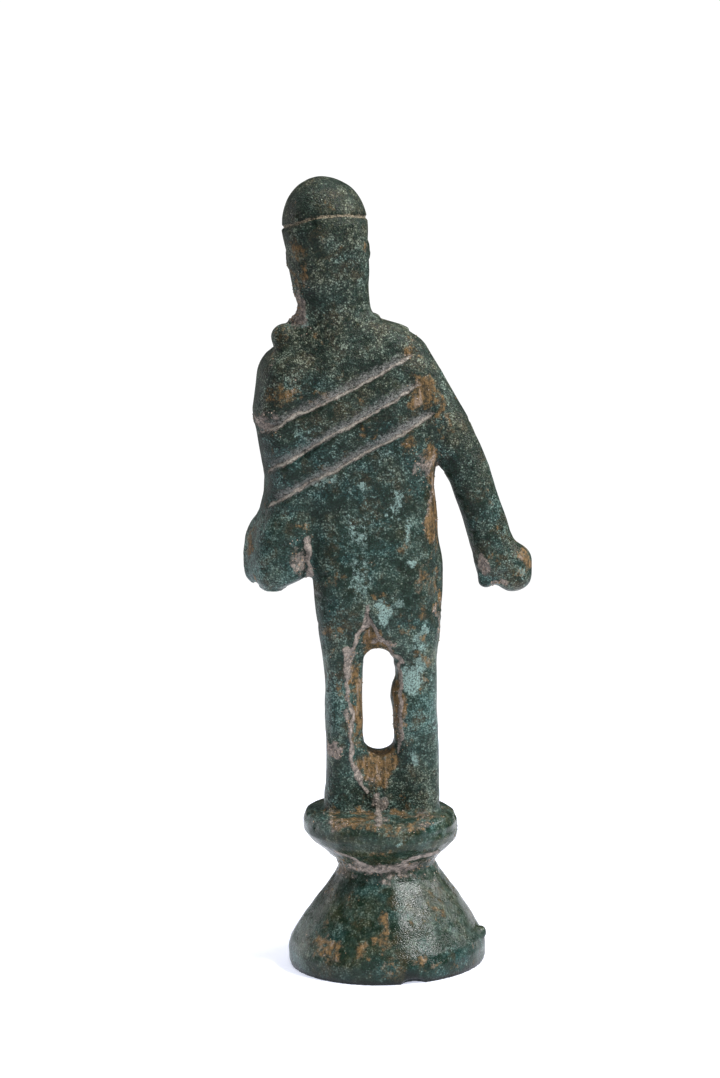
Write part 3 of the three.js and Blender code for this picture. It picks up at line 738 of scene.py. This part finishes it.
# settle the points on the surface, then keep what the finish needs to know about each
points = meshPoints(figure.data)
slope = slopeOf(casting, points, 0.08)
steepness = np.maximum(np.linalg.norm(slope, axis=1, keepdims=True), 0.3)
miss = casting(tuple(points.T))[:, None]
onTable = points[:, 2] < 0.12
settled = points - np.clip(miss / steepness, -0.08, 0.08) * slope / steepness
settled[onTable] = points[onTable]
settled[:, 2] = np.where(onTable, 0, np.maximum(settled[:, 2], 0))
figure.data.vertices.foreach_set("co", (settled * mm).astype(np.float32).ravel())
for polygon in figure.data.polygons:
    polygon.use_smooth = True
figure.data.update()

outwards = slope / steepness
place = tuple(settled.T)


def hollowness(reach):
    above = casting(tuple((settled + outwards * reach).T))
    return np.clip(1 - above / reach, 0, 1)


# how deep in a hollow each point lies: it adds earth to the hollows and a painted shade there
tightHollow, wideHollow = hollowness(0.5), hollowness(1.4)
# how deep each point lies in a fold: it places the painted shade on the fold walls
folds = deepestFold(place, 0 * place[0]) / cloakShape["backFolds"][0][2]
capSeam = np.exp(-(aboveCapLine(place, toHead(place)) / 0.16) ** 2) * (place[2] > headShape["root"][2] + 2)
storeMask(figure.data, "hollow", 0.55 * tightHollow + 0.75 * wideHollow)
storeMask(figure.data, "foldWall", folds)
storeMask(figure.data, "capSeam", capSeam)
for name, places in patinaPlaces.items():
    mask = placeMask(place, places)
    # painted shadow along the bottom of the foot, where it meets the floor
    if name == "grime":
        mask = np.maximum(mask, 1 - smoothstep(place[2], 0.15, 0.75))
    storeMask(figure.data, name, mask)

# chalky crust along the crust lines, and just under the feet of the back's folds a pale line that is partly
# crust and partly a painted highlight on the folds' lower edges
lipLine = {"below": 0.10, "width": 0.21}
crustAndLipHighlight = lineMask(place, crustLines)
for start, end, _ in cloakShape["backFolds"]:
    along, above, length = acrossFold(place, start, end)
    above = above + foldWaver(place) + 0.3 * (cloud(place, 0.6, 8) - 0.5)
    inLength = smoothstep(along, 0.2, 1.5) * (1 - smoothstep(along, length - 1.6, length))
    line = np.exp(-((above + lipLine["below"]) / lipLine["width"]) ** 2)
    crustAndLipHighlight = np.maximum(crustAndLipHighlight, line * inLength * (place[1] < -1))
storeMask(figure.data, "lipCrust", crustAndLipHighlight)

# how blue, how pale and how smoothly worn the patina is: (height, amount)
regions = {
    "teal": [
        (0, 0.9), (2, 0.8), (3.2, 0.2), (10, 0.15), (13.5, 0.45), (16, 0.3), (21, 0.55), (34, 0.7),
        (50, 0.9), (57, 0.55), (63, 0.1), (80, 0.0),
    ],
    "pale": [
        (0, 0.1), (8, 0.3), (13, 0.2), (15, 0.3), (16, 0.6), (20, 0.45), (25, 0.75), (31, 0.7), (36, 0.45),
        (44, 0.25), (56, 0.25), (62, 0.4), (72, 0.42), (75, 0.2), (80, 0.15),
    ],
    "worn": [
        (0, 0.8), (9, 0.95), (15, 1.0), (16.5, 0.35), (19, 0.3), (24, 0.5), (42, 0.5), (52, 0.2),
        (60, 0.05), (80, 0.1),
    ],
}
for name, steps in regions.items():
    heights, values = zip(*steps)
    level = np.interp(place[2] + 4 * (cloud(place, 6, 71) - 0.5), heights, values)
    if name == "teal":
        level = level - 0.4 * smoothstep(place[0], 6, 9)
    if name == "pale":
        level = level + 0.4 * smoothstep(-place[0], 7, 8.5) * (1 - smoothstep(place[2], 46, 48))
    storeMask(figure.data, name, level)
print("casting meshed,", len(figure.data.polygons), "faces")


# finishes
def nodeMaker(tree):
    def make(kind, settings=None, **inputs):
        node = tree.nodes.new(kind)
        for key, value in (settings or {}).items():
            setattr(node, key, value)
        for key, value in inputs.items():
            socket = node.inputs[int(key[1:])] if key[0] == "i" and key[1:].isdigit() else node.inputs[key]
            if isinstance(value, bpy.types.NodeSocket):
                tree.links.new(value, socket)
            else:
                socket.default_value = value
        return node

    return make


patinaColours = {
    "olive": (0.034, 0.042, 0.019, 1),
    "teal": (0.010, 0.046, 0.042, 1),
    "umber": (0.066, 0.050, 0.022, 1),
    "darkGreen": (0.004, 0.019, 0.010, 1),
    "paleGreen": (0.085, 0.160, 0.140, 1),
    # pale grain colours, partly a painted glint
    "grainGreyAndGlint": (0.33, 0.37, 0.28, 1),
    "grainAquaAndGlint": (0.24, 0.40, 0.36, 1),
    # dark gaps between grains, and the painted shadow at the foot
    "gap": (0.003, 0.005, 0.004, 1),
    "verdigris": (0.33, 0.49, 0.45, 1),
    "earth": (0.270, 0.158, 0.062, 1),
    "earthDark": (0.050, 0.034, 0.014, 1),
    "crust": (0.46, 0.385, 0.335, 1),
    "crustGrey": (0.130, 0.112, 0.100, 1),
    # pale chips, partly a painted highlight along the feet of the back's folds
    "chip": (0.60, 0.56, 0.49, 1),
    # painted shade on the walls of the folds
    "wallShade": (0.36, 0.355, 0.34, 1),
    "seam": (0.36, 0.30, 0.21, 1),
    # near black, for the painted shade in the hollows
    "hollowShade": (0.008, 0.008, 0.007, 1),
}


# fractal noise that breaks the patina up: size in millimetres, detail, roughness
patinaNoise = {
    "speck": (0.17, 2.0, 0.7),
    "grain": (0.21, 3.0, 0.7),
    "soilTone": (0.4, 4.0, 0.7),
    "chalkTone": (0.4, 5.0, 0.75),
    "chipEdge": (0.45, 6.0, 0.8),
    "fleckEdge": (0.5, 6.0, 0.75),
    "streak": (0.5, 4.0, 0.6),
    "filedEdge": (0.5, 6.0, 0.8),
    "seamEdge": (0.5, 4.0, 0.7),
    "crustEdge": (0.6, 6.0, 0.8),
    "crowd": (0.7, 3.0, 0.6),
    "earthEdge": (0.8, 6.0, 0.72),
    "mottle": (1.0, 5.0, 0.68),
    "splotchEdge": (1.4, 6.0, 0.7),
    "blotch": (2.1, 5.0, 0.65),
    "umber": (2.6, 6.0, 0.7),
    "strayEarth": (3.0, 5.0, 0.66),
    "drift": (4.5, 4.0, 0.6),
}
patinaRelief = {"pebble": 0.165, "depth": 0.12, "strength": 0.8, "streakStretch": 0.16}
keptMasks = [
    "hollow", "foldWall", "capSeam", "lipCrust", "crust", "earth", "grime", "verdigris",
    "teal", "pale", "worn",
]


# what a finish is mixed with: noise, sums, ramps and blends of colour
def finishTools(tree):
    make = nodeMaker(tree)
    where = make("ShaderNodeTexCoord").outputs["Object"]

    def noise(name, along=where):
        size, detail, roughness = patinaNoise[name]
        made = make(
            "ShaderNodeTexNoise", Vector=along, Scale=1 / (size * mm), Detail=detail, Roughness=roughness
        )
        return make("ShaderNodeMapRange", i0=made.outputs["Fac"], i1=0.27, i2=0.73).outputs[0]

    def maths(operation, a, b, clamp=False):
        settings = {"operation": operation, "use_clamp": clamp}
        return make("ShaderNodeMath", settings, i0=a, i1=b).outputs[0]

    def plus(a, b, clamp=False):
        return maths("ADD", a, b, clamp)

    def less(a, b):
        return maths("SUBTRACT", a, b)

    def times(a, b):
        return maths("MULTIPLY", a, b)

    def larger(a, b):
        return maths("MAXIMUM", a, b)

    # how far a value lies from its middle, enlarged
    def swing(value, middle, gain):
        return times(less(value, middle), gain)

    def ranged(value, low, high, to0=0.0, to1=1.0):
        smooth = {"interpolation_type": "SMOOTHSTEP"}
        return make("ShaderNodeMapRange", smooth, i0=value, i1=low, i2=high, i3=to0, i4=to1).outputs[0]

    # ragged patches where a mask is strong: the noise decides the edge
    def ragged(mask, edge, low, high, most):
        return ranged(plus(mask, swing(edge, 0.5, 0.9)), low, high, 0.0, most)

    def mixed(factor, a, b):
        node = make("ShaderNodeMix", {"data_type": "RGBA"})
        for socket, value in ((node.inputs[0], factor), (node.inputs[6], a), (node.inputs[7], b)):
            if isinstance(value, bpy.types.NodeSocket):
                tree.links.new(value, socket)
            else:
                socket.default_value = value
        return node.outputs[2]

    return SimpleNamespace(
        make=make, where=where, noise=noise, plus=plus, less=less, times=times, larger=larger,
        swing=swing, ranged=ranged, ragged=ragged, mixed=mixed,
    )


# what every layer of the patina reads: the kept masks, the pebbles and the shared noise
def patinaFacts(t):
    facts = SimpleNamespace(tone=patinaColours)
    for name in keptMasks:
        mask = t.make("ShaderNodeAttribute", {"attribute_name": name}).outputs["Fac"]
        setattr(facts, name, mask)
    facts.coarse = t.less(1.0, t.times(facts.worn, 0.55))
    pebbles = t.make(
        "ShaderNodeTexVoronoi", Vector=t.where, Scale=1 / (patinaRelief["pebble"] * mm), Randomness=1.0
    )
    facts.apart = pebbles.outputs["Distance"]
    facts.chance = t.make("ShaderNodeSeparateColor", Color=pebbles.outputs["Color"]).outputs[0]
    facts.dome = t.ranged(facts.apart, 0.75, 0.15)
    facts.speck, facts.mottle, facts.blotch = t.noise("speck"), t.noise("mottle"), t.noise("blotch")
    facts.tealness = t.plus(facts.teal, t.swing(t.noise("drift"), 0.5, 1.7), True)
    return facts


# olive to teal, with dark, pale and brown drifts
def greenGround(t, f):
    colour = t.mixed(f.tealness, f.tone["olive"], f.tone["teal"])
    colour = t.mixed(t.ranged(f.blotch, 0.6, 0.25, 0.0, 0.8), colour, f.tone["darkGreen"])
    paleness = t.plus(t.times(f.pale, 0.55), t.swing(f.mottle, 0.55, 0.9), True)
    colour = t.mixed(t.times(paleness, 0.7), colour, f.tone["paleGreen"])
    return t.mixed(t.ranged(t.noise("umber"), 0.5, 0.85, 0.0, 0.8), colour, f.tone["umber"])


# light and dark grains, which crowd together in places; the light grains are partly pale grains of the
# patina and partly painted glints
def grainLayer(t, f, colour):
    likely = t.times(t.plus(f.chance, t.noise("grain")), 0.5)
    for value, middle, gain in ((t.noise("crowd"), 0.54, 0.5), (f.blotch, 0.5, 0.6), (f.pale, 0.3, 0.35)):
        likely = t.plus(likely, t.swing(value, middle, gain))
    dark = t.times(t.ranged(likely, 0.5, 0.2, 0.0, 0.95), f.coarse)
    colour = t.mixed(dark, colour, f.tone["darkGreen"])
    # the light grains, brightest at each grain's middle: partly pale grains, partly painted glints
    light = t.times(t.ranged(likely, 0.5, 0.95), t.ranged(f.dome, 0.0, 1.0, 0.4, 1.0))
    grain = t.mixed(f.tealness, f.tone["grainGreyAndGlint"], f.tone["grainAquaAndGlint"])
    return t.mixed(t.times(t.times(light, f.coarse), 0.9), colour, grain)


# fine flecks everywhere, splotches where verdigris is marked; its cover is kept for the relief
def verdigrisLayer(t, f, colour):
    thick = t.plus(t.times(f.verdigris, 0.65), t.times(f.teal, 0.18))
    fleck = t.ragged(thick, t.noise("fleckEdge"), 0.42, 0.62, 0.8)
    splotch = t.ragged(thick, t.noise("splotchEdge"), 0.42, 0.75, 0.65)
    f.green = t.larger(fleck, splotch)
    return t.mixed(f.green, colour, f.tone["verdigris"])


# brown earth, streaked down the back of the legs and along the filed flank
def earthLayer(t, f, colour):
    stray = t.times(t.ranged(t.noise("strayEarth"), 0.60, 0.9), 0.62)
    earthy = t.plus(t.larger(f.earth, stray), t.times(f.hollow, 0.18))
    f.soiled = t.ragged(earthy, t.noise("earthEdge"), 0.36, 0.92, 0.88)
    upright = t.make(
        "ShaderNodeMapping", Vector=t.where, Scale=(1.0, 1.0, patinaRelief["streakStretch"])
    ).outputs[0]
    streak = t.noise("streak", upright)
    tone = t.ranged(t.plus(streak, t.noise("soilTone")), 0.55, 1.35)
    soil = t.mixed(tone, f.tone["earthDark"], f.tone["earth"])
    soil = t.mixed(t.ranged(streak, 0.62, 0.85, 0.0, 0.5), soil, f.tone["crust"])
    return t.mixed(f.soiled, colour, soil)


# painted purplish-grey shade on the walls of the folds, pinkish grey crust along their feet and in the
# corners
def foldShadeAndCrustLayer(t, f, colour):
    # painted shade: the walls of the folds tinted purplish grey
    wallShading = t.plus(f.foldWall, t.swing(t.noise("filedEdge"), 0.5, 0.9))
    colour = t.mixed(t.ranged(wallShading, 0.3, 1.15, 0.0, 0.9), colour, f.tone["wallShade"])
    f.crusted = t.ragged(t.larger(f.crust, f.lipCrust), t.noise("crustEdge"), 0.40, 0.85, 0.95)
    chalk = t.mixed(t.ranged(t.noise("chalkTone"), 0.25, 0.8), f.tone["crustGrey"], f.tone["crust"])
    colour = t.mixed(f.crusted, colour, chalk)
    # pale chips along the feet of the back's folds: partly crust, partly a painted highlight on their lower
    # edges
    chip = t.ragged(f.lipCrust, t.noise("chipEdge"), 0.72, 1.05, 0.85)
    byFold = t.ranged(f.foldWall, 0.02, 0.3, 0.12, 1.0)
    return t.mixed(t.times(chip, byFold), colour, f.tone["chip"])


# painted shade in the hollows, painted shadow in the chip and along the bottom of the foot, and a pale line
# under the cap
def shadeAndSeamLayer(t, f, colour):
    # painted shade: the hollows darkened to near black, less where crust lies
    hollowShading = t.times(t.ranged(f.hollow, 0.5, 1.05), t.less(0.6, t.times(f.crusted, 0.55)))
    colour = t.mixed(hollowShading, colour, f.tone["hollowShade"])
    # painted shadow in the chip and along the bottom of the foot
    colour = t.mixed(t.times(f.grime, 0.9), colour, f.tone["gap"])
    seam = t.ragged(f.capSeam, t.noise("seamEdge"), 0.35, 0.7, 0.85)
    return t.mixed(seam, colour, f.tone["seam"])


# dark gaps between the grains and the finest specks, weaker on deposits and in the folds
def gapLayer(t, f, colour):
    bare = t.less(1.0, t.times(t.larger(f.deposit, t.times(f.foldWall, 0.35)), 0.6))
    gaps = t.times(t.times(t.ranged(f.apart, 0.42, 0.8, 0.0, 0.7), f.coarse), bare)
    colour = t.mixed(gaps, colour, f.tone["gap"])
    specks = t.times(t.ranged(f.speck, 0.5, 0.12, 0.0, 0.9), t.plus(f.coarse, 0.2))
    return t.mixed(t.times(specks, bare), colour, f.tone["gap"])


def patinaBump(t, f):
    relief = t.less(1.0, t.times(f.worn, 0.85))
    grains = t.plus(t.times(f.dome, 0.5), t.times(f.speck, 0.4))
    height = t.times(t.plus(grains, t.times(f.mottle, 0.8)), relief)
    height = t.plus(height, t.times(f.deposit, 0.6))
    height = t.plus(height, t.times(f.green, 0.3))
    strength, depth = patinaRelief["strength"], patinaRelief["depth"] * mm
    return t.make("ShaderNodeBump", Height=height, Strength=strength, Distance=depth).outputs[0]


def patinaMaterial():
    material = bpy.data.materials.new("green_patina")
    material.use_nodes = True
    tree = material.node_tree
    tree.nodes.clear()
    t = finishTools(tree)
    f = patinaFacts(t)
    colour = greenGround(t, f)
    for layer in (grainLayer, verdigrisLayer, earthLayer, foldShadeAndCrustLayer, shadeAndSeamLayer):
        colour = layer(t, f, colour)
    f.deposit = t.larger(f.crusted, f.soiled)
    colour = gapLayer(t, f, colour)
    satin = t.plus(t.less(0.44, t.times(f.worn, 0.18)), t.swing(f.mottle, 0.5, 0.16))
    rough = t.plus(satin, t.times(f.deposit, 0.35), True)

    surface = t.make("ShaderNodeBsdfPrincipled", Normal=patinaBump(t, f), Roughness=rough)
    tree.links.new(colour, surface.inputs["Base Color"])
    surface.inputs["IOR"].default_value = 1.45
    surface.inputs["Specular IOR Level"].default_value = 0.3
    out = t.make("ShaderNodeOutputMaterial")
    tree.links.new(surface.outputs[0], out.inputs["Surface"])
    return material


def crumbMaterial():
    material = bpy.data.materials.new("soil_crumbs")
    material.use_nodes = True
    tree = material.node_tree
    surface = tree.nodes["Principled BSDF"]
    make = nodeMaker(tree)
    where = make("ShaderNodeTexCoord").outputs["Object"]
    pick = make("ShaderNodeTexNoise", Vector=where, Scale=1 / (0.9 * mm), Detail=2.0).outputs["Fac"]
    spread = make("ShaderNodeMapRange", i0=pick, i1=0.38, i2=0.62).outputs[0]
    blend = make("ShaderNodeMix", {"data_type": "RGBA"})
    tree.links.new(spread, blend.inputs[0])
    blend.inputs[6].default_value = patinaColours["earth"]
    blend.inputs[7].default_value = patinaColours["crust"]
    tree.links.new(blend.outputs[2], surface.inputs["Base Color"])
    surface.inputs["Roughness"].default_value = 0.85
    return material


figure.data.materials.clear()
figure.data.materials.append(patinaMaterial())
print("patina made")

# loose grains of soil and crust, scattered where the crust is thick
soilCrumbs = {
    "size": 0.15,
    "smallest": 0.22,  # share of the size
    "largest": 0.6,
    "perSquareMm": 5.0,
    "onEarth": 0.12,  # beside 1 on crust
    "seed": 4,
}


crumbInputs = {
    "Geometry": "NodeSocketGeometry",
    "Crumb Size": "NodeSocketFloat",
    "Density": "NodeSocketFloat",
    "Seed": "NodeSocketInt",
    "Finish": "NodeSocketMaterial",
}


def crumbTree(shape):
    tree = bpy.data.node_groups.new("scatter_crumbs", "GeometryNodeTree")
    for name, kind in crumbInputs.items():
        tree.interface.new_socket(name, in_out="INPUT", socket_type=kind)
    tree.interface.new_socket("Geometry", in_out="OUTPUT", socket_type="NodeSocketGeometry")
    make = nodeMaker(tree)
    given = make("NodeGroupInput").outputs
    crust, earth = (
        make("GeometryNodeInputNamedAttribute", {"data_type": "FLOAT"}, Name=name).outputs["Attribute"]
        for name in ("crust", "earth")
    )
    most = make("ShaderNodeMath", {"operation": "MULTIPLY_ADD"}, i0=earth, i1=shape["onEarth"], i2=crust)
    density = make("ShaderNodeMath", {"operation": "MULTIPLY"}, i0=most.outputs[0], i1=given["Density"])
    spots = make(
        "GeometryNodeDistributePointsOnFaces",
        Mesh=given["Geometry"], Density=density.outputs[0], Seed=given["Seed"],
    )
    grain = make("GeometryNodeMeshIcoSphere", Radius=1.0, Subdivisions=1)
    low, high = (
        make("ShaderNodeMath", {"operation": "MULTIPLY"}, i0=given["Crumb Size"], i1=share).outputs[0]
        for share in (shape["smallest"], shape["largest"])
    )
    size = make("FunctionNodeRandomValue", {"data_type": "FLOAT"}, Seed=given["Seed"])
    tree.links.new(low, size.inputs[2])
    tree.links.new(high, size.inputs[3])
    turn = make("FunctionNodeRandomValue", {"data_type": "FLOAT_VECTOR"}, Seed=given["Seed"])
    turn.inputs[1].default_value = (6.28, 6.28, 6.28)  # any way round
    turned = make("FunctionNodeEulerToRotation", i0=turn.outputs[0])
    placed = make(
        "GeometryNodeInstanceOnPoints",
        Points=spots.outputs["Points"], Instance=grain.outputs["Mesh"],
        Rotation=turned.outputs[0], Scale=size.outputs[1],
    )
    solid = make("GeometryNodeRealizeInstances", i0=placed.outputs[0])
    finished = make("GeometryNodeSetMaterial", Geometry=solid.outputs[0], Material=given["Finish"])
    make("NodeGroupOutput", i0=finished.outputs[0])
    return tree


def scatterCrumbs(ground, shape):
    tree = crumbTree(shape)
    holder = bpy.data.objects.new("soil_crumbs", ground.data.copy())
    bpy.context.collection.objects.link(holder)
    scatter = holder.modifiers.new("scatter", "NODES")
    scatter.node_group = tree
    given = {item.name: item.identifier for item in tree.interface.items_tree if item.in_out == "INPUT"}
    scatter[given["Crumb Size"]] = shape["size"] * mm
    scatter[given["Density"]] = shape["perSquareMm"] / mm**2
    scatter[given["Seed"]] = shape["seed"]
    scatter[given["Finish"]] = crumbMaterial()
    baked = bpy.data.meshes.new_from_object(holder.evaluated_get(bpy.context.evaluated_depsgraph_get()))
    holder.modifiers.remove(scatter)
    holder.data = baked
    return holder


crumbs = scatterCrumbs(figure, soilCrumbs)
print("crumbs scattered,", len(crumbs.data.polygons), "faces")

# pieces
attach(figure, "root")
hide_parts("figure")
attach(crumbs, "root")

# studio: white paper with dim surroundings, and broad soft lights at the sides, above and behind
studio = {
    "surroundings": 0.08,
    "paperBehind": 1.05,
    "aim": (0, 0, 40),
    "floorHalfWidth": 110,
    "floor": (0.66, 0.66, 0.68, 1),
    "floorGlow": (0.80, 0.84, 1.0, 1),
    "floorGlowStrength": 0.62,
    "lights": [  # from, size, power
        ("key", (280, -200, 350), 70, 2.4),
        ("rightBack", (350, 142, 238), 110, 0.6),
        ("leftBack", (-350, 230, 80), 200, 0.35),
        ("front", (-150, -420, 200), 260, 0.35),
        ("above", (0, 60, 480), 350, 1.6),
    ],
}


def areaLight(name, place, size, power, aim):
    data = bpy.data.lights.new(name, "AREA")
    data.size = size * mm
    data.energy = power
    light = bpy.data.objects.new(name, data)
    bpy.context.collection.objects.link(light)
    light.location = Vector(place) * mm
    light.rotation_euler = (light.location - Vector(aim) * mm).to_track_quat("Z", "Y").to_euler()


def setStudio(shape):
    scene = bpy.context.scene
    world = bpy.data.worlds.new("studio")
    scene.world = world
    world.use_nodes = True
    make = nodeMaker(world.node_tree)
    seen = make("ShaderNodeLightPath").outputs["Is Camera Ray"]
    strength = make("ShaderNodeMapRange", i0=seen, i3=shape["surroundings"], i4=shape["paperBehind"])
    sky = world.node_tree.nodes["Background"]
    sky.inputs["Color"].default_value = (1, 1, 1, 1)
    world.node_tree.links.new(strength.outputs[0], sky.inputs["Strength"])
    scene.view_settings.view_transform = "Standard"
    for light in shape["lights"]:
        areaLight(*light, shape["aim"])
    layFloor(shape)


def layFloor(shape):
    wide = shape["floorHalfWidth"] * mm
    corners = [(-wide, -wide, 0), (wide, -wide, 0), (wide, wide, 0), (-wide, wide, 0)]
    mesh = bpy.data.meshes.new("floor")
    mesh.from_pydata(corners, [], [(0, 1, 2, 3)])
    floor = bpy.data.objects.new("floor", mesh)
    bpy.context.collection.objects.link(floor)
    paper = bpy.data.materials.new("pale_floor")
    paper.use_nodes = True
    sheet = paper.node_tree.nodes["Principled BSDF"]
    sheet.inputs["Base Color"].default_value = shape["floor"]
    sheet.inputs["Roughness"].default_value = 0.9
    sheet.inputs["Specular IOR Level"].default_value = 0.1
    sheet.inputs["Emission Color"].default_value = shape["floorGlow"]
    sheet.inputs["Emission Strength"].default_value = shape["floorGlowStrength"]
    mesh.materials.append(paper)


setStudio(studio)
print("studio set")
